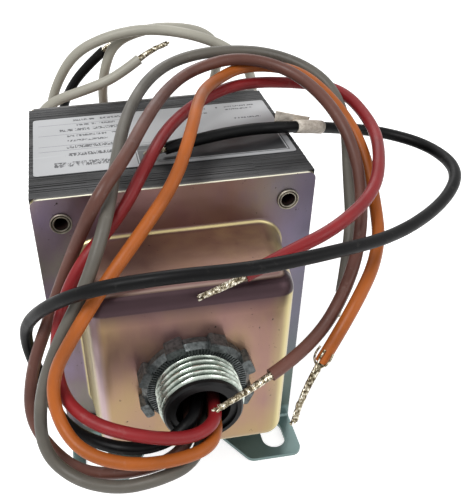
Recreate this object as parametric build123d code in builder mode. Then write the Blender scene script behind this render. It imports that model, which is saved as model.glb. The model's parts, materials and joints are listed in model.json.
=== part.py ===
from build123d import *
import math
import os

# Control transformer with two feet and a threaded hub at each end.
# Millimetres. X runs along the feet, the front hub points to -Y, Z is up from the mounting surface.
# The origin is on the mounting surface, under the middle of the core.

# Core: E and I laminations laid alternately, long side upright
CORE_H = 85.7
CORE_W = CORE_H * 5 / 6
UNIT = CORE_H / 6
CORE_T = 54.0
CORE_LIFT = 5.0
CORE_TOP = CORE_LIFT + CORE_H
CORE_MID = CORE_LIFT + CORE_H / 2
PACKS = 12
PACK_T = CORE_T / PACKS
RIVET_INSET = 6.9

# End bells: one drawn sheet each, with a flat flange, a drafted boss and two feet bent outwards
SHEET_T = 1.2
FLANGE_CORNER_R = 2.0
FLANGE_BOTTOM = 5.6
BOSS_W = 55.2
BOSS_H = 60.8
BOSS_MID = 47.6
BOSS_DEPTH = 23.5
BOSS_TAPER = 6.5
BOSS_CORNER_R = 7.0
BOSS_FRONT_R = 4.5
BOSS_ROOT_R = 1.2
CAVITY_EDGE = 2.1
BOSS_FACE = CORE_T / 2 + SHEET_T + BOSS_DEPTH

# Feet
FOOT_REACH = 44.0
FOOT_INNER_BEND = 9.5
FOOT_INNER_TIP = 19.0
FOOT_BEND_R = 1.0
FOOT_CORNER_R = 3.0
SLOT_X = 28.2
SLOT_Y = 35.2
SLOT_LEN = 11.0
SLOT_W = 7.2

# Corner eyelet rivets
RIVET_R = 2.4
RIVET_BORE_R = 1.8
RIVET_HEAD_R = 2.8
RIVET_HEAD_T = 0.8
RIVET_CLEAR = 0.1

# Threaded hub, its locknut and its insulating bushing
HUB_Z = 48.0
HUB_R = 10.67
HUB_BORE_R = 8.3
HUB_LEN = 10.6
HUB_FLANGE_R = 13.4
HUB_FLANGE_T = 1.6
HUB_HOLE_CLEAR = 0.15
NUT_R = 13.9
NUT_T = 3.2
NUT_BORE_CLEAR = 0.06
NUT_BEVEL = 1.4
NUT_LUGS = 8
LUG_R = 15.2
LUG_W = 4.8
LUG_T = 4.3
LUG_INNER_R = 12.9
NUT_TEETH = 96
TOOTH_DEPTH = 0.45
TOOTH_W = 0.38
BUSH_RIM_R = 9.9
BUSH_RIM_T = 1.6
BUSH_PLUG_CLEAR = 0.1
BUSH_RIM_EDGE = 0.5
BUSH_PLUG_LEN = 6.0
BUSH_BORE_R = 6.8
BUSH_STEP_R = 8.4
BUSH_STEP_DEPTH = 0.7

# Coil on its bobbin, wound round the middle leg
BOBBIN_LEN = 42.2
BOBBIN_WALL = 1.2
BOBBIN_CLEAR = 0.3
BOBBIN_FLANGE_Y = 78.0
BOBBIN_FLANGE_Z = 55.0
BOBBIN_CORNER_R = 6.0
WINDING_Y = 76.0
WINDING_Z = 53.0
WINDING_CORNER_R = 10.0
COIL_START_R = 0.5
WRAP_T = 0.5
COIL_GAP = 0.15

# Label on the top of the core
LABEL_L = 69.0
LABEL_D = 35.0
LABEL_T = 0.15
LABEL_Y = 1.3
LABEL_CORNER_R = 1.0

# Leads: each starts inside its bell, comes out through the bushing and ends in a stripped, twisted strand
LEAD_D = 3.2
STRAND_D = 2.0
LEAD_ROUTES = {
    "red": [
        (5, -43, 53), (3, -50, 52), (1, -58, 52), (-3, -66, 53), (-9, -71, 55), (-18, -72, 55),
        (-28, -66, 53), (-35, -55, 54), (-35, -45, 64), (-29, -42, 79), (-15, -36, 89), (-7, -28, 97),
        (1, -10, 98), (13, 6, 98), (27, 16, 98), (45, 17, 96), (56, 9, 96), (60, -6, 92),
        (57, -20, 90), (49, -35, 87), (35, -46, 85), (23, -50, 83), (12, -52, 79),
    ],
    "black": [
        (2, -42, 49), (1, -50, 49), (-1, -58, 49), (-5, -66, 48), (-12, -71, 49), (-23, -71, 48),
        (-34, -59, 44), (-41, -43, 43), (-45, -36, 56), (-38, -47, 73), (-24, -57, 86), (-6, -60, 89),
        (11, -60, 88), (30, -56, 86), (51, -46, 81), (69, -34, 81), (79, -22, 83), (78, -7, 82),
        (67, 3, 83), (54, 4, 87), (36, -3, 94), (16, -9, 94), (-2, -12, 93),
    ],
    "orange": [
        (7, -43, 49), (6, -50, 50), (4, -58, 50), (1, -66, 49), (-3, -73, 50), (-10, -78, 51),
        (-19, -79, 50), (-30, -73, 48), (-36, -64, 51), (-36, -58, 61), (-28, -56, 72), (-20, -51, 81),
        (-11, -43, 88), (-2, -34, 95), (5, -22, 101), (10, -7, 104), (16, 7, 102), (28, 17, 102),
        (42, 11, 101), (50, 0, 98), (55, -13, 90), (56, -26, 80), (50, -43, 76), (37, -58, 70),
        (29, -62, 58),
    ],
    "brown": [
        (4, -43, 46), (1, -50, 45), (-1, -58, 45), (-4, -66, 44), (-10, -70, 43), (-19, -71, 40),
        (-30, -66, 34), (-39, -57, 31), (-46, -50, 38), (-43, -45, 51), (-36, -41, 65), (-31, -37, 78),
        (-22, -40, 96), (-13, -31, 101), (-5, -15, 103), (3, 1, 104), (12, 11, 105), (26, 15, 106),
        (40, 9, 103), (47, -7, 98), (50, -20, 89), (47, -35, 79), (39, -50, 72), (28, -59, 61),
        (16, -64, 58),
    ],
    "grey": [
        (8, -43, 44), (5, -50, 45), (3, -58, 45), (0, -66, 44), (-5, -72, 42), (-13, -75, 40),
        (-23, -74, 37), (-33, -68, 35), (-40, -62, 40), (-40, -57, 53), (-34, -53, 66), (-26, -50, 78),
        (-20, -43, 91), (-16, -29, 96), (-10, -8, 100), (-2, 10, 103), (8, 24, 105), (22, 29, 106),
        (38, 22, 104), (49, 10, 98), (54, -2, 91), (50, -18, 83), (46, -32, 74), (40, -44, 64),
    ],
    "rear_white": [
        (-3, 43, 50), (-2, 50, 50), (-2, 58, 50), (-5, 66, 50), (-13, 71, 49), (-23, 71, 51),
        (-31, 66, 57), (-34, 60, 67), (-32, 56, 78), (-28, 52, 89), (-21, 48, 101), (-10, 46, 106),
        (3, 44, 108), (16, 41, 106), (28, 39, 101), (37, 43, 92), (39, 45, 81), (40, 46, 70),
        (38, 50, 61), (32, 58, 57), (26, 65, 62), (25, 68, 73), (27, 64, 84), (28, 57, 94),
        (23, 52, 102), (13, 50, 105), (3, 50, 105), (-7, 49, 102), (-11, 49, 93), (-12, 54, 82),
        (-11, 59, 71), (-18, 60, 63), (-28, 57, 62), (-35, 53, 68), (-35, 48, 79), (-29, 42, 87),
        (-18, 39, 91), (-8, 39, 94), (0, 40, 99),
    ],
    "rear_black": [
        (3, 43, 46), (2, 50, 46), (2, 58, 46), (4, 67, 45), (10, 73, 42), (15, 76, 34),
        (14, 78, 24), (6, 78, 17), (-5, 78, 15), (-15, 78, 21), (-21, 78, 32), (-23, 77, 44),
        (-25, 74, 56), (-27, 69, 66), (-26, 64, 76), (-22, 60, 85), (-16, 58, 92), (-10, 57, 97),
    ],
}
STRAND_LENGTHS = {
    "red": 13, "black": 6, "orange": 19, "brown": 17, "grey": 7, "rear_white": 11, "rear_black": 8,
}

# Tape wrapped round the black lead, its two ends stuck together as a small flag
TAPE_PLACE = (43.6, -0.05, 91.1)
TAPE_ALONG = (-0.887, -0.341, 0.315)
TAPE_NORMAL = (-0.341, 0.887, 0)
TAPE_WRAP_LEN = 8.8
TAPE_INNER_R = 2.0
TAPE_OUTER_R = 2.35
TAPE_FLAG_T = 0.4
TAPE_FLAG_OUTLINE = [(2.4, 2.15), (9.4, 5.0), (10.6, 3.9), (10.1, 2.2)]

os.makedirs("parts", exist_ok=True)


def save(part, name):
    part.label = name
    export_step(part, f"parts/{name}.step")


def end_plane(side, distance):
    """Plane that faces out of the front (-1) or rear (1) end; its local y axis is up."""
    return Plane(origin=(0, side * distance, 0), x_dir=(-side, 0, 0), z_dir=(0, side, 0))


rivet_places = [
    (x * (CORE_W / 2 - RIVET_INSET), CORE_MID + z * (CORE_H / 2 - RIVET_INSET))
    for x in (-1, 1)
    for z in (-1, 1)
]


def make_core_stack(shape):
    """One solid for each pack of E or of I laminations, turned end for end from pack to pack."""
    with BuildPart() as stack:
        for pack in range(PACKS):
            turned = 1 if pack % 2 == 0 else -1
            base = Plane(origin=(0, CORE_T / 2 - pack * PACK_T, 0), x_dir=(1, 0, 0), z_dir=(0, -1, 0))
            with BuildSketch(base):
                if shape == "e":
                    with Locations((0, CORE_MID)):
                        Rectangle(CORE_W, CORE_H)
                    with Locations((turned * (CORE_W - UNIT) / 2, CORE_MID)):
                        Rectangle(UNIT, CORE_H, mode=Mode.SUBTRACT)
                    with Locations((0, CORE_MID - 1.5 * UNIT), (0, CORE_MID + 1.5 * UNIT)):
                        Rectangle(3 * UNIT, UNIT, mode=Mode.SUBTRACT)
                else:
                    with Locations((turned * (CORE_W - UNIT) / 2, CORE_MID)):
                        Rectangle(UNIT, CORE_H)
                with Locations(*rivet_places):
                    Circle(RIVET_R + RIVET_CLEAR, mode=Mode.SUBTRACT)
            extrude(amount=PACK_T)
    return stack.part


def make_bobbin():
    """Square tube round the middle leg with a flange at each end and one between the windings."""
    tube_y = CORE_T + 2 * (BOBBIN_CLEAR + BOBBIN_WALL)
    tube_z = 2 * UNIT + 2 * (BOBBIN_CLEAR + BOBBIN_WALL)
    flange_gap = (BOBBIN_LEN - BOBBIN_WALL) / 2
    with BuildPart() as bobbin:
        with BuildSketch(Plane.YZ):
            with Locations((0, CORE_MID)):
                Rectangle(tube_y, tube_z)
        extrude(amount=BOBBIN_LEN / 2, both=True)
        for place in (-flange_gap, 0, flange_gap):
            with BuildSketch(Plane.YZ.offset(place)):
                with Locations((0, CORE_MID)):
                    RectangleRounded(BOBBIN_FLANGE_Y, BOBBIN_FLANGE_Z, BOBBIN_CORNER_R)
            extrude(amount=BOBBIN_WALL / 2, both=True)
        with BuildSketch(Plane.YZ):
            with Locations((0, CORE_MID)):
                Rectangle(tube_y - 2 * BOBBIN_WALL, tube_z - 2 * BOBBIN_WALL)
        extrude(amount=BOBBIN_LEN, both=True, mode=Mode.SUBTRACT)
    return bobbin.part


def make_ring_round_bobbin(side, outer, inner):
    """Winding or wrap: a closed ring of the outer outline less the inner one, on one half of the bobbin."""
    length = BOBBIN_LEN / 2 - 1.5 * BOBBIN_WALL - 2 * COIL_GAP
    start = BOBBIN_WALL / 2 + COIL_GAP
    origin = side * start if side > 0 else -start - length
    with BuildPart() as ring:
        with BuildSketch(Plane.YZ.offset(origin)):
            with Locations((0, CORE_MID)):
                RectangleRounded(*outer)
                RectangleRounded(*inner, mode=Mode.SUBTRACT)
        extrude(amount=length)
    return ring.part


def make_end_bell(side):
    """Drawn cover: flange, drafted boss with rounded edges, two slotted feet, hub and rivet holes."""
    inner = CORE_T / 2
    outer = inner + SHEET_T
    with BuildPart() as bell:
        with BuildSketch(end_plane(side, inner)):
            with Locations((0, (CORE_TOP + FLANGE_BOTTOM) / 2)):
                RectangleRounded(CORE_W, CORE_TOP - FLANGE_BOTTOM, FLANGE_CORNER_R)
        extrude(amount=SHEET_T)
        with BuildSketch(end_plane(side, outer)):
            with Locations((0, BOSS_MID)):
                RectangleRounded(BOSS_W, BOSS_H, BOSS_CORNER_R)
        extrude(amount=BOSS_DEPTH, taper=BOSS_TAPER)
        front_face = bell.faces().sort_by(Axis.Y)[0 if side < 0 else -1]
        fillet(front_face.edges(), BOSS_FRONT_R)
        flange_face = [f for f in bell.faces().filter_by(Axis.Y) if f.inner_wires()][0]
        fillet(flange_face.inner_wires()[0].edges(), BOSS_ROOT_R)
        cavity_w = BOSS_W - 2 * SHEET_T
        cavity_h = BOSS_H - 2 * SHEET_T
        with BuildSketch(end_plane(side, inner)):
            with Locations((0, BOSS_MID)):
                RectangleRounded(cavity_w, cavity_h, BOSS_CORNER_R - SHEET_T)
        extrude(amount=BOSS_DEPTH, taper=BOSS_TAPER, mode=Mode.SUBTRACT)
        cavity_depth = inner + BOSS_DEPTH
        cavity_face = [f for f in bell.faces().filter_by(Axis.Y)
                       if abs(abs(f.center().Y) - cavity_depth) < SHEET_T / 4][0]
        chamfer(cavity_face.edges(), CAVITY_EDGE)
        # Feet: the flange goes on down and bends outwards
        foot_w = CORE_W / 2 - FOOT_INNER_BEND
        for hand in (-1, 1):
            middle = hand * (CORE_W / 2 - foot_w / 2)
            with BuildSketch(Plane(origin=(middle, 0, 0), x_dir=(0, side, 0), z_dir=(side, 0, 0))):
                with BuildLine():
                    FilletPolyline(
                        (inner + SHEET_T / 2, FLANGE_BOTTOM + SHEET_T),
                        (inner + SHEET_T / 2, SHEET_T / 2),
                        (FOOT_REACH, SHEET_T / 2),
                        radius=FOOT_BEND_R + SHEET_T / 2,
                    )
                trace(line_width=SHEET_T)
            extrude(amount=foot_w / 2, both=True)
        # Taper and slot of each foot, seen from above
        with BuildSketch(Plane.XY.offset(-SHEET_T)):
            for hand in (-1, 1):
                with BuildLine():
                    Polyline(
                        (hand * FOOT_INNER_BEND, side * (inner + SHEET_T + FOOT_BEND_R)),
                        (hand * FOOT_INNER_TIP, side * FOOT_REACH),
                        (hand * FOOT_INNER_TIP, side * (FOOT_REACH + SHEET_T)),
                        (0, side * (FOOT_REACH + SHEET_T)),
                        (0, side * (inner + SHEET_T + FOOT_BEND_R)),
                        close=True,
                    )
                make_face()
                with Locations((hand * SLOT_X, side * SLOT_Y)):
                    SlotOverall(SLOT_LEN, SLOT_W, rotation=90)
        extrude(amount=3 * SHEET_T, mode=Mode.SUBTRACT)
        low_edges = bell.edges().filter_by(Axis.Z).filter_by_position(Axis.Z, 0, SHEET_T)
        tips = low_edges.group_by(Axis.Y)[0 if side < 0 else -1]
        fillet(tips, FOOT_CORNER_R)
        with BuildSketch(end_plane(side, inner)):
            with Locations((0, HUB_Z)):
                Circle(HUB_R + HUB_HOLE_CLEAR)
            with Locations(*rivet_places):
                Circle(RIVET_R + RIVET_CLEAR)
        extrude(amount=BOSS_DEPTH + 2 * SHEET_T, mode=Mode.SUBTRACT)
    return bell.part


def make_rivets():
    """Four tubular rivets through the flanges and the core, rolled over at both ends."""
    reach = CORE_T / 2 + SHEET_T
    with BuildPart() as rivets:
        with BuildSketch(end_plane(-1, 0)):
            with Locations(*rivet_places):
                Circle(RIVET_R)
        extrude(amount=reach, both=True)
        for side in (-1, 1):
            with BuildSketch(end_plane(side, reach)):
                with Locations(*rivet_places):
                    Circle(RIVET_HEAD_R)
            extrude(amount=RIVET_HEAD_T)
        rims = rivets.edges().filter_by(GeomType.CIRCLE).group_by(Axis.Y)
        chamfer(rims[0] + rims[-1], RIVET_HEAD_T * 0.5)
        with BuildSketch(end_plane(-1, 0)):
            with Locations(*rivet_places):
                Circle(RIVET_BORE_R)
        extrude(amount=reach + 2 * RIVET_HEAD_T, both=True, mode=Mode.SUBTRACT)
    return rivets.part


def make_hub(side):
    """Threaded nipple with a flange inside the boss; drawn at its thread's outside diameter."""
    start = BOSS_FACE - SHEET_T - HUB_FLANGE_T
    with BuildPart() as hub:
        with BuildSketch(end_plane(side, start)):
            with Locations((0, HUB_Z)):
                Circle(HUB_FLANGE_R)
        extrude(amount=HUB_FLANGE_T)
        with BuildSketch(end_plane(side, start)):
            with Locations((0, HUB_Z)):
                Circle(HUB_R)
        extrude(amount=HUB_FLANGE_T + SHEET_T + HUB_LEN)
        tip = hub.faces().sort_by(Axis.Y)[0 if side < 0 else -1]
        chamfer(tip.edges(), 0.5)
        with BuildSketch(end_plane(side, start)):
            with Locations((0, HUB_Z)):
                Circle(HUB_BORE_R)
        extrude(amount=HUB_FLANGE_T + SHEET_T + HUB_LEN, mode=Mode.SUBTRACT)
    return hub.part


def make_locknut(side):
    """Cast ring with eight raised driving lugs and fine radial teeth round its face."""
    hub_centre = Location((0, HUB_Z))
    with BuildPart() as nut:
        with BuildSketch(end_plane(side, BOSS_FACE)):
            with Locations(hub_centre):
                Circle(NUT_R)
        extrude(amount=NUT_T)
        face = nut.faces().sort_by(Axis.Y)[0 if side < 0 else -1]
        chamfer(face.edges(), NUT_BEVEL, NUT_BEVEL * 0.8)
        with BuildSketch(end_plane(side, BOSS_FACE)):
            with Locations(hub_centre):
                with PolarLocations((LUG_R + LUG_INNER_R) / 2, NUT_LUGS, start_angle=180 / NUT_LUGS):
                    RectangleRounded(LUG_R - LUG_INNER_R, LUG_W, 0.7)
        extrude(amount=LUG_T)
        with BuildSketch(end_plane(side, BOSS_FACE + NUT_T - TOOTH_DEPTH)):
            with Locations(hub_centre):
                with PolarLocations((HUB_R + NUT_R - NUT_BEVEL) / 2, NUT_TEETH):
                    Rectangle(NUT_R - NUT_BEVEL - HUB_R + 0.3, TOOTH_W)
            with Locations(hub_centre):
                with PolarLocations((LUG_R + LUG_INNER_R) / 2, NUT_LUGS, start_angle=180 / NUT_LUGS):
                    Rectangle(LUG_R - LUG_INNER_R + 0.5, LUG_W + 0.3, mode=Mode.SUBTRACT)
        extrude(amount=2 * TOOTH_DEPTH, mode=Mode.SUBTRACT)
        with BuildSketch(end_plane(side, BOSS_FACE)):
            with Locations(hub_centre):
                Circle(HUB_R + NUT_BORE_CLEAR)
        extrude(amount=LUG_T, mode=Mode.SUBTRACT)
    return nut.part


def make_bushing(side):
    """Moulded insulator pushed into the hub: a rim over the hub's end, a plug and a stepped bore."""
    mouth = BOSS_FACE + HUB_LEN
    with BuildPart() as bushing:
        with BuildSketch(end_plane(side, mouth)):
            with Locations((0, HUB_Z)):
                Circle(BUSH_RIM_R)
        extrude(amount=BUSH_RIM_T)
        rim = bushing.faces().sort_by(Axis.Y)[0 if side < 0 else -1]
        chamfer(rim.edges(), BUSH_RIM_EDGE)
        with BuildSketch(end_plane(side, mouth - BUSH_PLUG_LEN)):
            with Locations((0, HUB_Z)):
                Circle(HUB_BORE_R - BUSH_PLUG_CLEAR)
        extrude(amount=BUSH_PLUG_LEN)
        with BuildSketch(end_plane(side, mouth + BUSH_RIM_T - BUSH_STEP_DEPTH)):
            with Locations((0, HUB_Z)):
                Circle(BUSH_STEP_R)
        extrude(amount=BUSH_STEP_DEPTH, mode=Mode.SUBTRACT)
        with BuildSketch(end_plane(side, mouth - BUSH_PLUG_LEN)):
            with Locations((0, HUB_Z)):
                Circle(BUSH_BORE_R)
        extrude(amount=BUSH_PLUG_LEN + BUSH_RIM_T, mode=Mode.SUBTRACT)
    return bushing.part


def make_lead(name, points):
    """Insulated lead: straight runs joined by arcs as large as the runs allow, with a round section."""
    radii = []
    for before, corner, after in zip(points, points[1:], points[2:]):
        run_in = Vector(*corner) - Vector(*before)
        run_out = Vector(*after) - Vector(*corner)
        half_turn = math.radians(run_in.get_angle(run_out) / 2)
        radii.append(0.45 * min(run_in.length, run_out.length) / math.tan(half_turn))
    print(f"{name} lead, bend radii:", *[round(radius, 1) for radius in radii])
    with BuildPart() as lead:
        with BuildLine() as route:
            FilletPolyline(*points, radius=radii)
        with BuildSketch(Plane(origin=points[0], z_dir=Vector(*points[1]) - Vector(*points[0]))):
            Circle(LEAD_D / 2)
        sweep(path=route.wire())
    print(f"{name} lead, length {route.wire().length:.1f}, volume over section times length",
          round(lead.part.volume / (math.pi * LEAD_D**2 / 4 * route.wire().length), 4))
    return lead.part


def make_strand(points, length):
    """Twisted conductor that stands out of the lead's end, drawn as a plain rod."""
    with BuildPart() as strand:
        with BuildSketch(Plane(origin=points[-1], z_dir=Vector(*points[-1]) - Vector(*points[-2]))):
            Circle(STRAND_D / 2)
        extrude(amount=length)
    return strand.part


def make_tape():
    """Sleeve of tape round the lead, with the flag made by its two ends."""
    with BuildPart() as tape:
        with BuildSketch(Plane(origin=TAPE_PLACE, z_dir=TAPE_ALONG)):
            Circle(TAPE_OUTER_R)
            Circle(TAPE_INNER_R, mode=Mode.SUBTRACT)
        extrude(amount=TAPE_WRAP_LEN / 2, both=True)
        with BuildSketch(Plane(origin=TAPE_PLACE, x_dir=TAPE_ALONG, z_dir=TAPE_NORMAL)):
            with BuildLine():
                Polyline(*TAPE_FLAG_OUTLINE, close=True)
            make_face()
        extrude(amount=TAPE_FLAG_T / 2, both=True)
    return tape.part


save(make_core_stack("e"), "e_laminations")
save(make_core_stack("i"), "i_laminations")
save(make_bobbin(), "coil_bobbin")
for side, end in ((-1, "front"), (1, "rear")):
    save(make_end_bell(side), f"{end}_end_bell")
    save(make_hub(side), f"{end}_hub")
    save(make_locknut(side), f"{end}_locknut")
    save(make_bushing(side), f"{end}_bushing")
save(make_rivets(), "corner_rivets")

on_bobbin = BOBBIN_CLEAR + BOBBIN_WALL + COIL_GAP
start_outline = (CORE_T + 2 * on_bobbin, 2 * UNIT + 2 * on_bobbin, COIL_START_R)
coil_outline = (WINDING_Y, WINDING_Z, WINDING_CORNER_R)
wrap_outline = (WINDING_Y + 2 * WRAP_T, WINDING_Z + 2 * WRAP_T, WINDING_CORNER_R + WRAP_T)
for side, winding in ((-1, "primary"), (1, "secondary")):
    save(make_ring_round_bobbin(side, coil_outline, start_outline), f"{winding}_winding")
    save(make_ring_round_bobbin(side, wrap_outline, coil_outline), f"{winding}_wrap")

with BuildPart() as label:
    with BuildSketch(Plane.XY.offset(CORE_TOP)):
        with Locations((0, LABEL_Y)):
            RectangleRounded(LABEL_L, LABEL_D, LABEL_CORNER_R)
    extrude(amount=LABEL_T)
save(label.part, "rating_label")

for name, points in LEAD_ROUTES.items():
    save(make_lead(name, points), f"{name}_lead")
    save(make_strand(points, STRAND_LENGTHS[name]), f"{name}_strands")
save(make_tape(), "tape_flag")
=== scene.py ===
import json
import math
import random

import bpy
from mathutils import Matrix, Vector, geometry, noise


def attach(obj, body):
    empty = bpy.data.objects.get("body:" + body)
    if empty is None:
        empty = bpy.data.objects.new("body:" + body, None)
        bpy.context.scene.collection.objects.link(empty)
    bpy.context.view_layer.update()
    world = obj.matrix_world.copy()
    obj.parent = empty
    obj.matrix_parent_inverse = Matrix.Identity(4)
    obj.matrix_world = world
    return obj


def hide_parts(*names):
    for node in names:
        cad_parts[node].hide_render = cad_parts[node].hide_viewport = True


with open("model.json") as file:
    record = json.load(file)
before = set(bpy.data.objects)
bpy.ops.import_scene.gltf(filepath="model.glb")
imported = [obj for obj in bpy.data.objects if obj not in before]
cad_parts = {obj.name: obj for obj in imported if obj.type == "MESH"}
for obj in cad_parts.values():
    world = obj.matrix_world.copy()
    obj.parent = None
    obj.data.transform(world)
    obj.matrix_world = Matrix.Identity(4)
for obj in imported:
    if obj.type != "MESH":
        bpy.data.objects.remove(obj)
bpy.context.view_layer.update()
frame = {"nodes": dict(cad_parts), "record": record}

MM = 0.001
scene = bpy.context.scene

# Camera at the photograph's viewpoint; image, optical centre and focal length in pixels, sensor in mm
IMAGE_W, IMAGE_H = 469, 500
CENTRE_U, CENTRE_V, FOCAL = 167.9, 300.6, 674.5
SENSOR = 36
CAMERA_PLACE = (-0.02247, -0.17287, 0.17143)
YAW, PITCH, ROLL = math.radians(7.671), math.radians(38.47), math.radians(-2.197)
forward = Vector((math.sin(YAW) * math.cos(PITCH), math.cos(YAW) * math.cos(PITCH), -math.sin(PITCH)))
right = Vector((math.cos(YAW), -math.sin(YAW), 0))
up = right.cross(forward)
right_rolled = math.cos(ROLL) * right + math.sin(ROLL) * up
up_rolled = -math.sin(ROLL) * right + math.cos(ROLL) * up
camera_data = bpy.data.cameras.new("camera")
camera_data.sensor_fit = "HORIZONTAL"
camera_data.sensor_width = SENSOR
camera_data.lens = FOCAL / IMAGE_W * SENSOR
camera_data.shift_x = (IMAGE_W / 2 - CENTRE_U) / IMAGE_W
camera_data.shift_y = (CENTRE_V - IMAGE_H / 2) / IMAGE_W
camera_data.clip_start = 0.01
camera = bpy.data.objects.new("camera", camera_data)
turned_axes = Matrix((right_rolled, up_rolled, -forward)).transposed().to_4x4()
camera.matrix_world = Matrix.Translation(CAMERA_PLACE) @ turned_axes
scene.collection.objects.link(camera)
scene.camera = camera

# Leads: diameter over the insulation, and the control points of each route, in millimetres
LEAD_D = 3.2
ROUTES = {
    "red": [
        (5, -43, 53), (4.2, -50, 50.2), (3.4, -58, 47.5), (2.7, -66.5, 47.2), (-4.5, -71, 47.7),
        (-15.5, -71.5, 51), (-28, -66, 52.5), (-34.5, -55, 54), (-33, -45, 65), (-26.5, -43, 80),
        (-14, -36, 89.5), (-7, -28, 97), (1, -10, 98), (13, 6, 98), (27, 16, 98), (45, 17, 96),
        (55.5, 9, 96), (59, -6, 92), (56, -20, 90), (49, -35, 87), (35, -46, 85), (23, -50, 83),
        (12, -52, 79),
    ],
    "black": [
        (2, -42, 49), (-0.2, -49, 48.2), (-0.3, -57, 47), (-2.3, -65, 47.9), (-10.5, -68.7, 43.9),
        (-22, -70, 46.2), (-34, -59, 44), (-38.5, -44, 44), (-42.5, -37, 57), (-37, -47.5, 72.5),
        (-24, -58, 85), (-6, -61, 88), (11, -60.5, 87), (30, -56, 85.5), (51, -46, 81), (69, -34, 81),
        (79, -22, 83), (78, -6, 83), (67, 4, 84), (54, 3.5, 86.5), (35, -6.5, 93.4), (16, -8.5, 94.5),
        (0, -12, 93),
    ],
    "orange": [
        (7, -43, 49), (5.3, -50, 46.5), (3.1, -58, 44.2), (3, -66, 43.8), (-0.3, -71.4, 43.9),
        (-8, -74, 44.5), (-19, -75, 46), (-30, -71, 48), (-35, -63, 52), (-35, -58, 61), (-28, -56, 72),
        (-20, -51, 81), (-10.5, -43, 88), (-1, -34, 95), (5, -22, 101), (10, -7, 104), (16, 7, 102),
        (28, 17.6, 102.5), (42, 12, 102.2), (49, -0.5, 97.5), (53.5, -13, 90), (53.5, -26, 80.5),
        (49, -43, 75), (37, -58, 70), (29, -62, 58),
    ],
    "brown": [
        (4, -43, 46), (-0.4, -50, 44.2), (-3.1, -58, 44.5), (-3.2, -66, 44), (-8.5, -70.3, 40.3),
        (-19, -71, 38.5), (-30, -66, 34), (-37.5, -57, 32), (-43.5, -50, 39), (-41, -45, 52),
        (-34.5, -41, 65), (-28, -37, 78), (-20, -41.3, 96.8), (-12, -31, 101), (-5, -15, 103),
        (3, 1, 104), (12, 11, 105), (26, 15, 106), (40, 9, 103), (47, -7, 98), (50, -20, 89),
        (47, -35, 79), (39, -50, 72), (28, -59, 61), (16, -64, 58),
    ],
    "grey": [
        (8, -43, 44), (3, -50, 43.7), (-0.1, -58, 43.1), (-0.1, -66, 42.85), (-4.5, -72.4, 40.3),
        (-13, -75, 39.5), (-23, -74, 37), (-33, -68, 35), (-40, -62, 40), (-39, -57, 53),
        (-33, -53, 66), (-25.2, -50.5, 78.4), (-18.6, -43, 90.6), (-14.8, -29, 95.6), (-10, -8, 100),
        (-2, 10, 103), (8, 22, 104), (22, 26, 104.5), (38, 21.5, 104), (50.5, 11, 99.5), (53.5, -1, 92),
        (49, -18, 83), (46, -32, 74), (40, -44, 64),
    ],
    "rear_white": [
        (-3, 43, 50), (-2, 50, 50), (-2, 58, 50), (-5, 66, 50), (-13, 71, 49), (-23, 71, 51),
        (-31, 66, 57), (-33, 60, 67), (-30.5, 56, 78), (-27, 52, 89), (-20, 48, 100), (-9, 46, 105),
        (3, 44, 107), (16, 41, 105.5), (28, 39, 101), (37, 43, 92), (39, 45, 81), (40, 46, 70),
        (38, 50, 61), (34, 58, 57), (29, 65, 62), (28, 68, 73), (30, 64, 84), (30, 57, 94),
        (23.5, 52, 102), (13, 50, 105), (3, 50, 105), (-7, 49, 102), (-11, 49, 93), (-12, 54, 82),
        (-11, 59, 71), (-18, 60, 63), (-28, 57, 62), (-35, 53, 68), (-35, 48, 79), (-29, 42, 87),
        (-18, 39, 91), (-8, 39, 94), (0, 40, 99),
    ],
    "rear_black": [
        (3, 43, 46), (2, 50, 46), (2, 58, 46), (4, 67, 45), (10, 73, 42), (15, 76, 34), (14, 78, 24),
        (6, 78, 17), (-5, 78, 15), (-15, 78, 21), (-21, 78, 32), (-23, 77, 44), (-25, 74, 56),
        (-27, 69, 66), (-26, 64, 76), (-22, 60, 85), (-16, 58, 92), (-10, 57, 97),
    ],
}
# Real length of each lead in metres, its material slot, and its stripped end: length and sideways drift in mm
LEADS = {
    "red": (0.303, "lead_red", 13, (0, 0, 1)),
    "black": (0.349, "lead_black", 6, (0, 0, 0)),
    "orange": (0.313, "lead_orange", 19, (2.5, 0, 0)),
    "brown": (0.334, "lead_brown", 17, (0, 0, 1.5)),
    "grey": (0.321, "lead_grey", 7, (0, 0, 0)),
    "rear_white": (0.414, "lead_white", 11, (0.5, 0, -1.5)),
    "rear_black": (0.172, "lead_black", 8, (0, 0, -1)),
}
# Stripped ends: wires twisted round each other in an outer and an inner ring, in millimetres
STRAND_R, TWIST_LENGTH, STRAND_STEPS = 0.27, 6.5, 26
OUTER_WIRES, INNER_WIRES, INNER_PHASE = 8, 3, 0.6
OUTER_RING_R, INNER_RING_R, TAPER = 0.74, 0.34, 0.42
# How uneven the wires are in length, and how far and over which last share of it they spring apart
UNEVEN, LOOSE, LOOSE_FROM = 0.12, 0.35, 0.8
# Wires that stick out at the insulation's end: how many, and their places along the lead and away from it
STRAY_WIRES = {"orange": 3}
STRAY_ANGLE, STRAY_TURN = 0.6, 1.1
STRAY_PLACES = ((1.0, 0.8), (0.4, 1.7), (-0.8, 2.2), (-2.2, 2.3), (-3.4, 2.1))


def link_object(name, data):
    made = bpy.data.objects.new(name, data)
    scene.collection.objects.link(made)
    return made


def wire_data(name, radius, roundness, steps):
    """Empty curve for round wires of a radius in millimetres."""
    data = bpy.data.curves.new(name, "CURVE")
    data.dimensions = "3D"
    data.bevel_depth = radius * MM
    data.bevel_resolution = roundness
    data.resolution_u = steps
    data.use_fill_caps = True
    return data


def add_spline(data, places):
    """Smooth open line that starts at the first place and ends at the last."""
    spline = data.splines.new("NURBS")
    spline.points.add(len(places) - 1)
    for point, place in zip(spline.points, places):
        point.co = (*place, 1)
    spline.order_u = 3
    spline.use_endpoint_u = True


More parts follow.
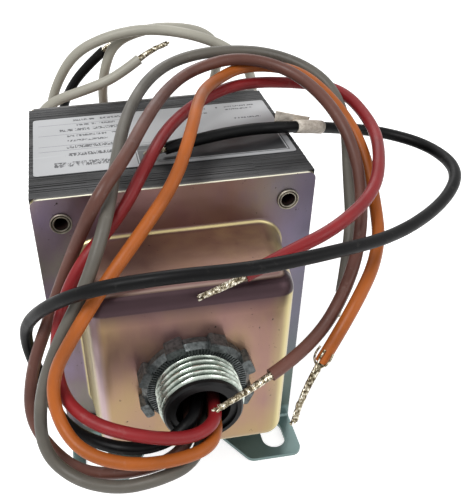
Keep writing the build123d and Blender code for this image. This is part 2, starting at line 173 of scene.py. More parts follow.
def lead_curve(name, points):
    """Smooth insulated lead along its route's control points."""
    data = wire_data(name, LEAD_D / 2, roundness=5, steps=10)
    add_spline(data, [(x * MM, y * MM, z * MM) for x, y, z in points])
    return link_object(name, data)


def centreline(curve):
    """Points of a curve object's own line, read from its spline."""
    bare = curve.data.copy()
    bare.bevel_depth = 0
    carrier = bpy.data.objects.new("carrier", bare)
    mesh = bpy.data.meshes.new_from_object(carrier)
    line = [v.co.copy() for v in mesh.vertices]
    bpy.data.objects.remove(carrier)
    bpy.data.meshes.remove(mesh)
    return line


def across(direction):
    """Two unit vectors at right angles to a direction and to each other."""
    helper = Vector((0, 0, 1)) if abs(direction.z) < 0.9 else Vector((1, 0, 0))
    side_way = direction.cross(helper).normalized()
    return side_way, side_way.cross(direction).normalized()


def spoke(axes, angle):
    """Unit vector at an angle between two axes from across()."""
    return axes[0] * math.cos(angle) + axes[1] * math.sin(angle)


def strand_bundle(name, start, direction, length, drift, seed, strays):
    """Tinned conductor: fine wires twisted together, a little loose at the tip."""
    dice = random.Random(seed)
    data = wire_data(name, STRAND_R, roundness=2, steps=4)
    axes = across(direction)
    for wire in range(OUTER_WIRES + INNER_WIRES):
        inner = wire >= OUTER_WIRES
        ring_r = INNER_RING_R if inner else OUTER_RING_R
        phase = 2 * math.pi * (wire % OUTER_WIRES) / OUTER_WIRES + (INNER_PHASE if inner else 0)
        reach = length * (1 - UNEVEN * dice.random())
        loose = LOOSE * dice.random()
        places = []
        for step in range(STRAND_STEPS + 1):
            t = step / STRAND_STEPS
            centre = start + direction * (reach * t * MM) + Vector(drift) * (t * t * MM)
            ring = ring_r * (1 - TAPER * t) + loose * max(0, t - LOOSE_FROM) * 2
            angle = phase + 2 * math.pi * reach * t / TWIST_LENGTH
            places.append(centre + spoke(axes, angle) * (ring * MM))
        add_spline(data, places)
    for strand in range(strays):
        out = spoke(axes, strand * STRAY_TURN + STRAY_ANGLE)
        places = [start + direction * (along * MM) + out * (away * MM) for along, away in STRAY_PLACES]
        add_spline(data, places)
    return link_object(name, data)


leads, bundles = {}, {}
for number, (name, points) in enumerate(ROUTES.items()):
    leads[name] = lead_curve(f"{name}_lead_insulation", points)
    line = centreline(leads[name])
    heading = (line[-1] - line[-2]).normalized()
    _, _, length, drift = LEADS[name]
    bundles[name] = strand_bundle(f"{name}_bare_end", line[-1], heading, length, drift, number,
                                  STRAY_WIRES.get(name, 0))


def mesh_piece(name, vertices, faces, smooth):
    data = bpy.data.meshes.new(name)
    data.from_pydata([tuple(v) for v in vertices], [], faces)
    data.polygons.foreach_set("use_smooth", [smooth] * len(faces))
    data.update()
    return link_object(name, data)


def turns(count):
    """Angles of evenly spaced places round a circle."""
    return [2 * math.pi * k / count for k in range(count)]


def band(lower, upper, around, flip=False):
    """Quads between two rings of vertices, each given by the number of its first vertex."""
    quads = []
    for a in range(around):
        b = (a + 1) % around
        if flip:
            quads.append((lower + a, upper + a, upper + b, lower + b))
        else:
            quads.append((lower + a, lower + b, upper + b, upper + a))
    return quads


def sharp_edges(piece):
    split = piece.modifiers.new("sharp", "EDGE_SPLIT")
    split.split_angle = math.radians(50)


# Tape round the black lead, with its ends stuck together as a flag; the middle in metres, the rest in mm
TAPE_MIDDLE = Vector((0.0418, 0, 0.0911))
TAPE_BEFORE, TAPE_AFTER = 3.0, 4.4
TAPE_R, TAPE_INNER_R, LAP_HEIGHT, WOBBLE = 1.78, 1.5, 0.14, 0.09
TAPE_AROUND, LAP_AROUND = 36, 14
FLAG_COLUMNS, FLAG_ROWS, FLAG_THICK = 14, 8, 0.28


def tape_stations():
    """The part of the black lead's line that the tape covers."""
    line = centreline(leads["black"])
    nearest = min(range(1, len(line) - 1), key=lambda i: (line[i] - TAPE_MIDDLE).length)

    def walk(step, distance):
        """Number of the first point that lies this far along the line from the nearest one."""
        travelled, i = 0, nearest
        while travelled < distance * MM:
            travelled += (line[i + step] - line[i]).length
            i += step
        return i

    return line[walk(-1, TAPE_BEFORE):walk(1, TAPE_AFTER) + 1]


def tape_wrap(stations):
    """Tape wound round the lead, overlapping a little and closed off at both ends."""
    last = len(stations) - 1
    vertices, faces = [], []
    for k, centre in enumerate(stations):
        ahead = stations[min(k + 1, last)] - stations[max(k - 1, 0)]
        axes = across(ahead.normalized())
        for a, angle in enumerate(turns(TAPE_AROUND)):
            out = spoke(axes, angle)
            wobble = noise.noise((centre + out * 0.002) * 900) * WOBBLE
            lap = LAP_HEIGHT if a < LAP_AROUND else 0
            vertices.append(centre + out * ((TAPE_R + wobble + lap) * MM))
    for k in range(last):
        faces += band(k * TAPE_AROUND, (k + 1) * TAPE_AROUND, TAPE_AROUND)
    for k, ahead in ((0, stations[1] - stations[0]), (last, stations[-1] - stations[-2])):
        start = len(vertices)
        axes = across(ahead.normalized())
        for angle in turns(TAPE_AROUND):
            vertices.append(stations[k] + spoke(axes, angle) * (TAPE_INNER_R * MM))
        rim = band(k * TAPE_AROUND, start, TAPE_AROUND, flip=True)
        faces += rim if k == 0 else [quad[::-1] for quad in rim]
    return mesh_piece("tape_wrap", vertices, faces, True)


def tape_flag(stations):
    """The tape's two ends stuck together, rising and crumpled towards the tip."""
    end = stations[-1]
    ahead = (end - stations[-2]).normalized()
    upward = (Vector((0, 0, 1)) - ahead * ahead.z).normalized()
    outward = ahead.cross(upward)
    vertices, faces = [], []
    for c in range(FLAG_COLUMNS + 1):
        for r in range(FLAG_ROWS + 1):
            s, t = c / FLAG_COLUMNS, r / FLAG_ROWS
            along = -6.0 + 12.4 * s + 0.5 * t * s
            height = 0.5 + (1.7 + 1.9 * s) * t - 0.5 * s * t * t + 0.3 * s * s
            crumple = noise.noise(Vector((along * 0.55, height * 0.8, 3.1))) * 0.5 * s
            aside = 1.95 - 0.3 * t + crumple
            vertices.append(end + ahead * (along * MM) + upward * (height * MM) + outward * (aside * MM))
    for c in range(FLAG_COLUMNS):
        for r in range(FLAG_ROWS):
            a = c * (FLAG_ROWS + 1) + r
            b = a + FLAG_ROWS + 1
            faces.append((a, b, b + 1, a + 1))
    flag = mesh_piece("tape_flag_ends", vertices, faces, True)
    thick = flag.modifiers.new("thickness", "SOLIDIFY")
    thick.thickness = FLAG_THICK * MM
    thick.offset = 0
    return flag


stations = tape_stations()
wrap = tape_wrap(stations)
flag = tape_flag(stations)

# Core: thin E and I sheets laid alternately, each a little out of line with the next; in millimetres
CORE_H, CORE_T, CORE_LIFT = 85.7, 54.0, 5.0
UNIT = CORE_H / 6
CORE_W = 5 * UNIT
SHEETS, SHEET_START, SHEET_GAP = 108, 0.02, 0.05
SLIP_X, SLIP_Z = (-0.09, 0.05), (-0.10, 0.0)
RIVET_INSET, RIVET_HOLE_R = 6.9, 2.6
RIVET_X, RIVET_Z = CORE_W / 2 - RIVET_INSET, CORE_H / 2 - RIVET_INSET


def sheet_loops(hand, shape):
    """Outline and rivet holes of one E or I sheet in its own plane, the E's back on side -hand."""
    low, high = -CORE_H / 2, CORE_H / 2
    back, legs, edge = -CORE_W / 2, CORE_W / 2 - UNIT, CORE_W / 2
    if shape == "e":
        inner = back + UNIT
        outline = [
            (back, low), (legs, low), (legs, low + UNIT), (inner, low + UNIT), (inner, -UNIT),
            (legs, -UNIT), (legs, UNIT), (inner, UNIT), (inner, high - UNIT), (legs, high - UNIT),
            (legs, high), (back, high),
        ]
        hole_x = -RIVET_X
    else:
        outline = [(legs, low), (edge, low), (edge, high), (legs, high)]
        hole_x = RIVET_X
    loops = [outline]
    for hole_z in (-RIVET_Z, RIVET_Z):
        loops.append([(hole_x + RIVET_HOLE_R * math.cos(a), hole_z - RIVET_HOLE_R * math.sin(a))
                      for a in turns(12)])
    return [[(hand * x, z) for x, z in loop] for loop in loops]


def lamination_stack(name, shape, seed):
    dice = random.Random(seed)
    pitch = CORE_T / SHEETS
    vertices, faces = [], []
    for sheet in range(SHEETS):
        hand = 1 if sheet // 2 % 2 == 0 else -1
        near = -CORE_T / 2 + sheet * pitch + SHEET_START
        far = near + pitch - SHEET_GAP
        slip_x = dice.uniform(*SLIP_X) * hand
        slip_z = dice.uniform(*SLIP_Z)
        loops = sheet_loops(hand, shape)
        flat = [point for loop in loops for point in loop]
        first, count = len(vertices), len(flat)
        for depth in (near, far):
            for x, z in flat:
                x_in = max(-CORE_W / 2, min(CORE_W / 2, x + slip_x))
                z_in = max(-CORE_H / 2, min(CORE_H / 2, z + slip_z))
                vertices.append(Vector((x_in, depth, z_in + CORE_LIFT + CORE_H / 2)) * MM)
        cover = geometry.tessellate_polygon([[Vector((x, z, 0)) for x, z in loop] for loop in loops])
        for triangle in cover:
            faces.append(tuple(first + k for k in triangle))
            faces.append(tuple(first + count + k for k in reversed(triangle)))
        for loop in loops:
            faces += band(first, first + count, len(loop))
            first += len(loop)
    return mesh_piece(name, vertices, faces, False)


e_sheets = lamination_stack("e_sheets", "e", 7)
i_sheets = lamination_stack("i_sheets", "i", 8)

# Hubs: a shoulder inside the bell and a helical thread on the nipple; in millimetres
HUB_Z, HUB_R, HUB_BORE_R = 48.0, 10.66, 8.3
HUB_START, HUB_SHOULDER, HUB_END = 48.9, 50.5, 62.3
SHOULDER_R, THREAD_PITCH, THREAD_DEPTH, THREAD_ROOT_R, CHAMFER = 13.4, 1.81, 1.15, 9.2, 0.6
VALLEY_WIDTH, VALLEY_SLOPE = 1.18, 2.9
HUB_AROUND, HUB_STEP = 96, 0.15


def thread_radius(along, angle):
    """Radius of the nipple: valleys with sloping sides, and a chamfer at the tip."""
    phase = ((along - HUB_SHOULDER) / THREAD_PITCH - angle / (2 * math.pi)) % 1
    valley = max(0.0, min(1.0, VALLEY_WIDTH - abs(phase - 0.5) * VALLEY_SLOPE))
    tip = max(0.0, along - (HUB_END - CHAMFER))
    return max(THREAD_ROOT_R, HUB_R - max(valley * THREAD_DEPTH, tip))


def threaded_hub(name, side):
    angles = turns(HUB_AROUND)
    bore, shoulder = [HUB_BORE_R] * HUB_AROUND, [SHOULDER_R] * HUB_AROUND
    rows = int((HUB_END - HUB_SHOULDER) / HUB_STEP)
    rings = [(HUB_START, bore), (HUB_START, shoulder), (HUB_SHOULDER, shoulder)]
    for k in range(rows + 1):
        along = HUB_SHOULDER + (HUB_END - HUB_SHOULDER) * k / rows
        rings.append((along, [thread_radius(along, angle) for angle in angles]))
    rings.append((HUB_END, bore))
    vertices, faces = [], []
    for along, radii in rings:
        for angle, radius in zip(angles, radii):
            vertices.append(Vector((-side * radius * math.cos(angle), side * along,
                                    HUB_Z + radius * math.sin(angle))) * MM)
    for row in range(len(rings)):
        faces += band(row * HUB_AROUND, (row + 1) % len(rings) * HUB_AROUND, HUB_AROUND)
    hub = mesh_piece(name, vertices, faces, True)
    sharp_edges(hub)
    return hub


hubs = {side: threaded_hub(f"{name}_hub_thread", side) for side, name in ((-1, "front"), (1, "rear"))}

# Rivets: their rolled ends lie on the bells' flanges; in millimetres
FLANGE_THICK, RIVET_AROUND = 1.2, 40


def eyelets():
    """Four tubular rivets, their ends rolled over with a fine groove inside the lip."""
    end = CORE_T / 2 + FLANGE_THICK
    rolled = [
        (1.78, end - 3.0), (1.78, end + 0.45), (1.88, end + 0.68), (2.04, end + 0.70), (2.12, end + 0.50),
        (2.20, end + 0.28), (2.34, end + 0.28), (2.42, end + 0.50), (2.52, end + 0.72), (2.66, end + 0.74),
        (2.78, end + 0.55), (2.80, end + 0.02), (2.42, end + 0.02), (2.38, end - 3.0),
    ]
    profile = rolled + [(radius, -along) for radius, along in reversed(rolled)]
    vertices, faces = [], []
    for x in (-RIVET_X, RIVET_X):
        for z in (-RIVET_Z, RIVET_Z):
            base = len(vertices)
            for radius, along in profile:
                for angle in turns(RIVET_AROUND):
                    vertices.append(Vector((x + radius * math.cos(angle), -along,
                                            CORE_LIFT + CORE_H / 2 + z + radius * math.sin(angle))) * MM)
            for row in range(len(profile)):
                lower = base + row * RIVET_AROUND
                upper = base + (row + 1) % len(profile) * RIVET_AROUND
                faces += band(lower, upper, RIVET_AROUND, flip=True)
    rivets = mesh_piece("rolled_rivets", vertices, faces, True)
    sharp_edges(rivets)
    return rivets


rivets = eyelets()


# Materials; places on the object are in metres, colours are screen colours from 0 to 255
def srgb(r, g, b):
    """Linear colour of a screen colour."""
    return tuple(((c / 255 + 0.055) / 1.055) ** 2.4 if c > 10 else c / 255 / 12.92 for c in (r, g, b)) + (1,)


def darker(colour, share):
    return tuple(c * share for c in colour[:3]) + (1,)


def node(tree, kind, settings=None, inputs=None):
    """New shader node; an input given as a socket is linked, anything else is its value."""
    made = tree.nodes.new(kind)
    for key, value in (settings or {}).items():
        setattr(made, key, value)
    for key, value in (inputs or {}).items():
        if isinstance(value, bpy.types.NodeSocket):
            tree.links.new(value, made.inputs[key])
        else:
            made.inputs[key].default_value = value
    return made


def calc(tree, operation, a, b=0.0, clamp=False):
    return node(tree, "ShaderNodeMath", {"operation": operation, "use_clamp": clamp}, {0: a, 1: b}).outputs[0]


def times(tree, a, b):
    return calc(tree, "MULTIPLY", a, b)


def absolute(tree, value):
    return calc(tree, "ABSOLUTE", value)


def above(tree, value, limit):
    return calc(tree, "GREATER_THAN", value, limit)


def below(tree, value, limit):
    return calc(tree, "LESS_THAN", value, limit)


def largest(tree, a, b, c):
    return calc(tree, "MAXIMUM", a, calc(tree, "MAXIMUM", b, c))


def xyz(tree, vector):
    return tuple(node(tree, "ShaderNodeSeparateXYZ", None, {0: vector}).outputs)


def hub_radius(tree, x, z):
    """Distance of a place from the hubs' axis."""
    upward = calc(tree, "SUBTRACT", z, HUB_Z * MM)
    return calc(tree, "SQRT", calc(tree, "ADD", times(tree, x, x), times(tree, upward, upward)))


def blend(tree, amount, a, b):
    return node(tree, "ShaderNodeMix", {"data_type": "RGBA"}, {0: amount, 6: a, 7: b}).outputs[2]


def paint(tree, under, amount, *screen):
    """A screen colour laid over another colour."""
    return blend(tree, amount, under, srgb(*screen))


def spread(tree, value, low, high, to_low=0.0, to_high=1.0):
    """Value between low and high stretched to another range, held at its ends."""
    inputs = {0: value, 1: low, 2: high, 3: to_low, 4: to_high}
    return node(tree, "ShaderNodeMapRange", None, inputs).outputs[0]


def ramp(tree, amount, *stops):
    """Colour by amount; each stop is its place on the ramp and its screen colour."""
    made = node(tree, "ShaderNodeValToRGB", None, {0: amount})
    elements = made.color_ramp.elements
    while len(elements) < len(stops):
        elements.new(0.5)
    for element, (place, *screen) in zip(elements, stops):
        element.position = place
        element.color = srgb(*screen)
    return made.outputs[0]


def grain(tree, vector, scale, detail, stretch=None, roughness=0.5):
    """Noise with features of about 1/scale metres, drawn out along the axes where stretch is small."""
    if stretch:
        vector = node(tree, "ShaderNodeMapping", None, {0: vector, 3: stretch}).outputs[0]
    inputs = {"Vector": vector, "Scale": scale, "Detail": detail, "Roughness": roughness}
    return node(tree, "ShaderNodeTexNoise", None, inputs).outputs[0]


def bump(tree, height, distance, strength, normal=None):
    inputs = {"Height": height, "Distance": distance, "Strength": strength}
    if normal is not None:
        inputs["Normal"] = normal
    return node(tree, "ShaderNodeBump", None, inputs).outputs[0]


def start_material(name):
    material = bpy.data.materials.new(name)
    material.use_nodes = True
    tree = material.node_tree
    place = node(tree, "ShaderNodeTexCoord").outputs["Object"]
    return material, tree, tree.nodes["Principled BSDF"], place


def finish_shader(tree, shader, colour, roughness, normal, **constants):
    """Joins the looks to the shader; roughness may be a plain value, and so are the constants."""
    for key, value in {"Base Color": colour, "Roughness": roughness, "Normal": normal}.items():
        if isinstance(value, bpy.types.NodeSocket):
            tree.links.new(value, shader.inputs[key])
        else:
            shader.inputs[key].default_value = value
    for key, value in constants.items():
        shader.inputs[key.replace("_", " ")].default_value = value


def passivated_steel():
    """Drawn steel with a bright zinc coat and a thin yellow passivation that shifts in colour."""
    material, tree, shader, place = start_material("passivated_steel")
    x, y, z = xyz(tree, place)
    face_x, face_y, face_z = xyz(tree, node(tree, "ShaderNodeNewGeometry").outputs["Normal"])
    away = absolute(tree, y)

    # Masks: rounded edges, faces that look up, the boss's front with its upper edge, and all off the flange
    flat = largest(tree, absolute(tree, face_x), absolute(tree, face_y), absolute(tree, face_z))
    rounded = spread(tree, flat, 0.97, 0.80)
    lid = spread(tree, face_z, 0.25, 0.65)
    front_edge = times(tree, spread(tree, away, 0.0440, 0.0475), lid)
    front = spread(tree, away, 0.0475, 0.0510)
    raised = spread(tree, away, 0.0286, 0.0300)

    # What the passivation's colour follows: broad clouds with upright streaks, and the height
    clouds = grain(tree, place, 38, 2.0)
    streaks = grain(tree, place, 160, 4.0, (1.0, 1.0, 0.35), 0.6)
    shift = calc(tree, "ADD", times(tree, clouds, 0.75), times(tree, streaks, 0.3))
    height = spread(tree, z, 0.015, 0.080)

    # Flange: bluish, browner above the boss, greener at the foot, and plainer towards the right edge
    flange = ramp(tree, shift, (0.30, 112, 106, 120), (0.42, 122, 108, 128), (0.52, 118, 104, 112),
                  (0.62, 122, 116, 108), (0.75, 112, 112, 134))
    near_middle = spread(tree, absolute(tree, x), 0.029, 0.014)
    middle = times(tree, near_middle, spread(tree, z, 0.060, 0.080, 0.0, 0.75))
    flange = paint(tree, flange, middle, 120, 84, 74)
    flange = paint(tree, flange, spread(tree, z, 0.016, 0.006), 78, 90, 80)
    edge_tint = ramp(tree, height, (0.05, 84, 100, 94), (0.45, 98, 100, 110), (0.95, 102, 96, 112))
    rightward = spread(tree, x, 0.022, 0.034)
    flange = blend(tree, times(tree, rightward, 0.85), flange, edge_tint)

    # Boss front: yellowish at the lower left, rosy at the upper right, yellow on the right, painted shade at
    # the top
    lower = ramp(tree, shift, (0.34, 152, 120, 112), (0.50, 162, 134, 104), (0.68, 168, 148, 98))
    upper = ramp(tree, shift, (0.34, 130, 94, 98), (0.50, 144, 110, 104), (0.68, 154, 126, 98))
    to_right = spread(tree, x, -0.026, 0.026, -0.35, 0.35)
    rosy = calc(tree, "ADD", times(tree, height, 0.8), to_right, clamp=True)
    boss = blend(tree, rosy, lower, upper)
    boss = paint(tree, boss, spread(tree, x, 0.019, 0.0255, 0.0, 0.8), 164, 158, 104)
    # Painted shade: a dark band across the top of the boss's front
    boss = paint(tree, boss, spread(tree, z, 0.0675, 0.0722, 0.0, 0.95), 70, 54, 58)

    # Boss walls: pale lilac, yellow on the left and brown on top
    walls = ramp(tree, shift, (0.34, 158, 146, 166), (0.52, 164, 152, 160), (0.70, 176, 168, 136))
    top_wall = ramp(tree, shift, (0.34, 134, 104, 98), (0.52, 152, 122, 104), (0.70, 168, 142, 104))
    leftward = spread(tree, face_x, -0.35, -0.75)
    walls = paint(tree, walls, leftward, 176, 162, 112)
    walls = blend(tree, lid, walls, top_wall)
    colour = blend(tree, raised, flange, walls)
    colour = blend(tree, front, colour, boss)

    # Rounded edges: painted highlights, pale, lilac on the boss's left; along the boss's top edge a painted
    # shade band, with a painted highlight above it
    lilac = times(tree, spread(tree, face_x, -0.10, -0.30), spread(tree, away, 0.040, 0.045))
    lip = blend(tree, lilac, srgb(212, 198, 140), srgb(188, 166, 178))
    # Painted highlight: pale colour laid over the rounded edges, lilac on the boss's left
    colour = blend(tree, times(tree, rounded, 0.7), colour, lip)
    colour = paint(tree, colour, times(tree, front_edge, 0.5), 128, 100, 104)
    turned = times(tree, rounded, above(tree, away, 0.045))
    shadow_band = times(tree, spread(tree, face_z, 0.02, 0.09), spread(tree, face_z, 0.93, 0.86))
    near_front = above(tree, away, 0.0462)
    colour = paint(tree, colour, times(tree, near_front, shadow_band), 66, 50, 54)
    # Painted highlight along the top of the boss's upper rounded edge
    ridge_highlight = times(tree, spread(tree, face_z, 0.90, 0.95), spread(tree, face_z, 0.992, 0.98))
    colour = paint(tree, colour, times(tree, turned, ridge_highlight), 226, 206, 196)

    # Feet, and the flange's top edge: painted shadow along it, but bright at the front, where the sheared
    # bare metal carries a painted highlight
    colour = paint(tree, colour, spread(tree, z, 0.0066, 0.0052), 116, 136, 134)
    top_edge = above(tree, z, 0.09062)
    sheared_highlight = times(tree, top_edge, below(tree, y, -0.0277))
    # Painted shadow along the flanges' top edges
    colour = paint(tree, colour, top_edge, 64, 62, 60)
    # Painted highlight on the front half of the sheared top edge
    colour = paint(tree, colour, sheared_highlight, 196, 192, 172)

    # Patches of dark specks
    specks = spread(tree, grain(tree, place, 900, 2.0), 0.70, 0.76)
    where = spread(tree, grain(tree, place, 90, 2.0), 0.48, 0.62)
    colour = paint(tree, colour, times(tree, specks, where), 60, 52, 50)

    rough = spread(tree, streaks, 0.3, 0.7, 0.30, 0.44)
    waves = bump(tree, grain(tree, place, 70, 2.0), 0.0006, 0.5)
    normal = bump(tree, grain(tree, place, 1500, 3.0, (1.0, 1.0, 0.25)), 0.00003, 0.6, waves)
    finish_shader(tree, shader, colour, rough, normal, Metallic=0.85)
    return material


def plated_steel(name, light, dark, roughness, scale, metal=0.9):
    material, tree, shader, place = start_material(name)
    tone = grain(tree, place, scale, 4.0, None, 0.6)
    colour = ramp(tree, tone, (0.35, *dark), (0.62, *light))
    rough = spread(tree, tone, 0.35, 0.65, roughness + 0.1, roughness - 0.05)
    normal = bump(tree, grain(tree, place, scale * 4, 3.0), 0.00004, 0.7)
    finish_shader(tree, shader, colour, rough, normal, Metallic=metal)
    return material


def plated_thread():
    """Bright zinc on the thread's crests, painted shade and a faint green tint down in its valleys."""
    material, tree, shader, place = start_material("plated_thread")
    x, _, z = xyz(tree, place)
    crest = spread(tree, hub_radius(tree, x, z), 0.00965, 0.01055)
    tone = grain(tree, place, 500, 4.0, None, 0.6)
    bright = ramp(tree, tone, (0.35, 168, 178, 168), (0.62, 222, 230, 220))
    tint = spread(tree, grain(tree, place, 110, 2.0), 0.45, 0.65)
    # Painted shade: dark colour down in the valleys, tinted green in places
    valley = blend(tree, tint, srgb(52, 60, 54), srgb(84, 112, 98))
    rough = spread(tree, tone, 0.35, 0.65, 0.36, 0.20)
    normal = bump(tree, grain(tree, place, 2000, 3.0), 0.00004, 0.7)
    finish_shader(tree, shader, blend(tree, crest, valley, bright), rough, normal, Metallic=0.9)
    return material


def plated_rivet():
    """Dull bright lip, painted shade in the groove and pinkish brown down the bore."""
    material, tree, shader, place = start_material("plated_rivet")
    _, y, _ = xyz(tree, place)
    away = absolute(tree, y)
    tone = grain(tree, place, 500, 4.0, None, 0.6)
    colour = ramp(tree, tone, (0.35, 132, 126, 114), (0.62, 186, 180, 164))
    # Painted shade in the groove and on everything below it
    groove = spread(tree, away, 0.02862, 0.02850)
    colour = paint(tree, colour, groove, 58, 52, 48)
    colour = paint(tree, colour, spread(tree, away, 0.0283, 0.0276), 104, 82, 78)
    rough = spread(tree, tone, 0.35, 0.65, 0.42, 0.28)
    normal = bump(tree, grain(tree, place, 2000, 3.0), 0.00004, 0.7)
    finish_shader(tree, shader, colour, rough, normal, Metallic=0.85)
    return material


def varnished_core():
    """Sheet edges under dipped black varnish, worn lighter along some of them."""
    material, tree, shader, place = start_material("varnished_core")
    across_sheets = grain(tree, place, 900, 2.0, (0.03, 1.0, 0.03))
    blotches = grain(tree, place, 120, 4.0, (0.4, 1.0, 1.0), 0.65)
    colour = ramp(tree, across_sheets, (0.30, 8, 8, 9), (0.50, 17, 17, 19), (0.66, 46, 46, 48))
    colour = paint(tree, colour, spread(tree, blotches, 0.52, 0.72, 0.0, 0.6), 14, 14, 15)
    rough = spread(tree, blotches, 0.3, 0.7, 0.34, 0.55)
    normal = bump(tree, grain(tree, place, 700, 3.0, (0.2, 1.0, 0.2)), 0.00006, 0.7)
    finish_shader(tree, shader, colour, rough, normal, Specular_IOR_Level=0.22)
    return material


def moulded_plastic(name, colour, roughness):
    material, tree, shader, place = start_material(name)
    tone = grain(tree, place, 300, 3.0)
    mixed = blend(tree, tone, darker(colour, 0.72), colour)
    rough = spread(tree, tone, 0.3, 0.7, roughness - 0.06, roughness + 0.08)
    normal = bump(tree, grain(tree, place, 2600, 2.0), 0.00002, 0.6)
    finish_shader(tree, shader, mixed, rough, normal, Specular_IOR_Level=0.18)
    return material


def insulation(name, colour, dusty, shaded=0.66, gloss=0.3):
    """Extruded insulation: soft sheen, slight scuffs, uneven tone, and painted shade down inside the hub's
    bore.
    """
    material, tree, shader, place = start_material(name)
    tone = grain(tree, place, 70, 3.0)
    mixed = blend(tree, spread(tree, tone, 0.34, 0.66), darker(colour, shaded), colour)
    scuffs = spread(tree, grain(tree, place, 420, 4.0, None, 0.65), 0.60, 0.74, 0.0, dusty)
    mixed = paint(tree, mixed, scuffs, 205, 198, 190)
    x, y, z = xyz(tree, place)
    # Painted shade: leads darkened almost to black inside the hub's bore
    depth = spread(tree, absolute(tree, y), 0.0645, 0.0605, 0.0, 0.9)
    mixed = paint(tree, mixed, times(tree, below(tree, hub_radius(tree, x, z), 0.0068), depth), 6, 5, 5)
    rough = spread(tree, grain(tree, place, 200, 3.0), 0.3, 0.7, 0.34, 0.52)
    normal = bump(tree, grain(tree, place, 1100, 3.0), 0.00003, 0.6)
    finish_shader(tree, shader, mixed, rough, normal, Specular_IOR_Level=gloss)
    return material


def tinned_wire():
    material, tree, shader, place = start_material("tinned_wire")
    tone = grain(tree, place, 1400, 3.0)
    # Random tone: the pale end stands for painted highlights, the dark end for painted shade between the
    # wires
    colour = ramp(tree, tone, (0.38, 70, 60, 44), (0.50, 150, 140, 116), (0.64, 230, 225, 210))
    rough = spread(tree, tone, 0.3, 0.7, 0.38, 0.22)
    normal = bump(tree, grain(tree, place, 3000, 2.0), 0.00002, 0.6)
    finish_shader(tree, shader, colour, rough, normal, Metallic=0.95)
    return material


def creped_tape():
    material, tree, shader, place = start_material("creped_tape")
    crepe = grain(tree, place, 1500, 4.0, (0.35, 1.0, 1.0), 0.6)
    colour = ramp(tree, crepe, (0.3, 186, 174, 160), (0.5, 214, 205, 192), (0.7, 230, 223, 212))
    grime = spread(tree, grain(tree, place, 250, 3.0), 0.58, 0.78, 0.0, 0.4)
    colour = paint(tree, colour, grime, 138, 120, 104)
    finish_shader(tree, shader, colour, 0.75, bump(tree, crepe, 0.00012, 0.8))
    return material


# What is on the label: thin rules, bars of broken print and a panel, as x0, x1, y0, y1 in millimetres
RULES = [(-33, -8, 14.1, 14.3), (-33, -8, 7.2, 7.4), (-33, -8, 0.2, 0.4), (-33, 33, -2.9, -2.7)]
BARS = [
    (-23, -9, 16.0, 17.2), (-22, -11, 12.6, 13.7), (-27, -9, 9.2, 10.8), (-25, -11, 5.4, 6.6),
    (-25, -13, 2.3, 3.5), (-26, -12, -1.9, -0.2), (-26, -11, -6.6, -4.8), (-31, -10, -12.6, -9.8),
    (12, 20, 15.6, 16.6), (12, 18, 12.6, 13.4), (22, 31, 15.8, 16.6), (22, 30, 13.8, 14.6),
    (23, 31, 7.2, 8.0),
]
PANEL = (-7.5, 33.0, -14.8, -3.9)
FRAME_OUTER, FRAME_INNER = (-7.2, 32.7, -14.5, -4.2), (-6.9, 32.4, -14.2, -4.5)


def label_print():
    """Silver film with ruled lines, bars that are broken up like print, and a blank dark panel in a frame."""
    material, tree, shader, place = start_material("label_print")
    x, y, _ = xyz(tree, place)

    def inside(x0, x1, y0, y1):
        """1 within a rectangle given in millimetres of the label's plane."""
        in_x = times(tree, above(tree, x, x0 * MM), below(tree, x, x1 * MM))
        in_y = times(tree, above(tree, y, y0 * MM), below(tree, y, y1 * MM))
        return times(tree, in_x, in_y)

    tone = grain(tree, place, 90, 3.0)
    colour = blend(tree, tone, srgb(140, 141, 143), srgb(164, 165, 167))
    words = spread(tree, grain(tree, place, 420, 1.0, (1.0, 0.1, 1.0)), 0.40, 0.44)
    strokes = spread(tree, grain(tree, place, 2100, 1.0, (1.0, 0.5, 1.0)), 0.42, 0.52)
    marks = times(tree, words, strokes)
    for box in RULES:
        colour = paint(tree, colour, times(tree, inside(*box), 0.8), 74, 75, 80)
    for box in BARS:
        colour = paint(tree, colour, times(tree, inside(*box), marks), 40, 41, 45)
    colour = paint(tree, colour, inside(*PANEL), 40, 40, 42)
    frame_line = calc(tree, "SUBTRACT", inside(*FRAME_OUTER), inside(*FRAME_INNER))
    colour = paint(tree, colour, frame_line, 166, 167, 169)
    scratches = spread(tree, grain(tree, place, 240, 3.0, (0.08, 1.0, 1.0)), 0.68, 0.74, 0.0, 0.35)
    colour = paint(tree, colour, scratches, 184, 185, 187)
    rough = spread(tree, tone, 0.3, 0.7, 0.30, 0.42)
    normal = bump(tree, grain(tree, place, 60, 2.0), 0.0002, 0.5)
    finish_shader(tree, shader, colour, rough, normal, Metallic=0.35)
    return material


materials = {
    "bell_steel": passivated_steel(),
    "hub_steel": plated_thread(),
    "locknut_zinc": plated_steel("cast_zinc", (94, 99, 99), (52, 56, 56), 0.34, 900, 0.6),
    "rivet_steel": plated_rivet(),
    "core_steel": varnished_core(),
    "bushing_plastic": moulded_plastic("bushing_plastic", srgb(8, 8, 9), 0.36),
    "bobbin_plastic": moulded_plastic("bobbin_plastic", srgb(216, 210, 192), 0.5),
    "copper_wire": plated_steel("enamelled_copper", (186, 112, 72), (130, 70, 40), 0.32, 600),
    "wrap_tape": creped_tape(),
    "tape_paper": creped_tape(),
    "label_film": label_print(),
    "tinned_strand": tinned_wire(),
    "lead_red": insulation("lead_red", srgb(144, 32, 36), 0.05),
    "lead_black": insulation("lead_black", srgb(10, 10, 11), 0.03, gloss=0.13),
    "lead_orange": insulation("lead_orange", srgb(174, 92, 32), 0.05),
    "lead_brown": insulation("lead_brown", srgb(104, 66, 56), 0.08),
    "lead_grey": insulation("lead_grey", srgb(104, 100, 92), 0.08),
    "lead_white": insulation("lead_white", srgb(176, 173, 160), 0.03, shaded=0.84),
}

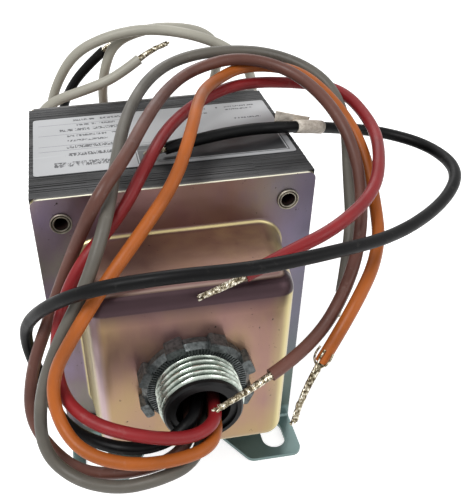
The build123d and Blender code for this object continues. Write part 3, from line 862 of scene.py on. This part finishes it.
for entry in frame["record"]["subparts"]:
    mesh = frame["nodes"][entry["node"]].data
    mesh.materials.clear()
    mesh.materials.append(materials[entry["material_slot"]])


def add_piece(piece, slot, *nodes):
    """A piece that rides on the body, takes a slot's material and stands for CAD nodes."""
    piece.data.materials.clear()
    piece.data.materials.append(materials[slot])
    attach(piece, "root")
    if nodes:
        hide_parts(*nodes)


add_piece(e_sheets, "core_steel", "e_laminations")
add_piece(i_sheets, "core_steel", "i_laminations")
for side, name in ((-1, "front"), (1, "rear")):
    add_piece(hubs[side], "hub_steel", f"{name}_hub")
add_piece(rivets, "rivet_steel", "corner_rivets")
add_piece(wrap, "tape_paper", "tape_flag")
add_piece(flag, "tape_paper")
for name, points in ROUTES.items():
    length, slot, _, _ = LEADS[name]
    add_piece(leads[name], slot, f"{name}_lead")
    add_piece(bundles[name], "tinned_strand", f"{name}_strands")

# Floor, background and lights; distances in metres, lamp strengths in watts
FLOOR_HALF, FLOOR_GREY, FLOOR_GLOW = 3, 0.86, 0.67
SURROUND_LIGHT, SURROUND_SEEN = 0.40, 1.0
AIM = (0, 0, 0.04)


def looked_at(tree):
    """1 for rays that show what they meet, 0 for those that only carry light."""
    path = node(tree, "ShaderNodeLightPath").outputs
    return largest(tree, path["Is Camera Ray"], path["Is Glossy Ray"], path["Is Transmission Ray"])


def white_floor():
    material = bpy.data.materials.new("floor")
    material.use_nodes = True
    tree = material.node_tree
    shader = tree.nodes["Principled BSDF"]
    shader.inputs["Base Color"].default_value = (FLOOR_GREY, FLOOR_GREY, FLOOR_GREY, 1)
    shader.inputs["Roughness"].default_value = 0.9
    shader.inputs["Specular IOR Level"].default_value = 0.1
    strength = times(tree, looked_at(tree), FLOOR_GLOW)
    glow = node(tree, "ShaderNodeEmission", None, {0: (1, 1, 1, 1), 1: strength})
    both = node(tree, "ShaderNodeAddShader", None, {0: shader.outputs[0], 1: glow.outputs[0]})
    tree.links.new(both.outputs[0], tree.nodes["Material Output"].inputs[0])
    return material


def white_world():
    world = bpy.data.worlds.new("world")
    world.use_nodes = True
    tree = world.node_tree
    strength = spread(tree, looked_at(tree), 0.0, 1.0, SURROUND_LIGHT, SURROUND_SEEN)
    tree.links.new(strength, tree.nodes["Background"].inputs[1])
    tree.nodes["Background"].inputs[0].default_value = (1, 1, 1, 1)
    return world


def soft_light(name, place, width, power):
    """Square lamp that looks at the object's lower middle."""
    data = bpy.data.lights.new(name, "AREA")
    data.size = width
    data.energy = power
    lamp = link_object(name, data)
    lamp.location = place
    lamp.rotation_euler = (Vector(AIM) - Vector(place)).to_track_quat("-Z", "Y").to_euler()


corners = [(-FLOOR_HALF, -FLOOR_HALF, 0), (FLOOR_HALF, -FLOOR_HALF, 0), (FLOOR_HALF, FLOOR_HALF, 0),
           (-FLOOR_HALF, FLOOR_HALF, 0)]
floor = mesh_piece("floor", corners, [(0, 1, 2, 3)], False)
floor.data.materials.append(white_floor())
scene.world = white_world()
soft_light("key", (-0.35, -0.35, 0.75), 0.4, 4.4)
soft_light("fill", (0.6, -0.45, 0.5), 0.5, 1.6)
soft_light("back", (0.1, 0.7, 0.6), 0.5, 1.6)
scene.view_settings.view_transform = "Standard"
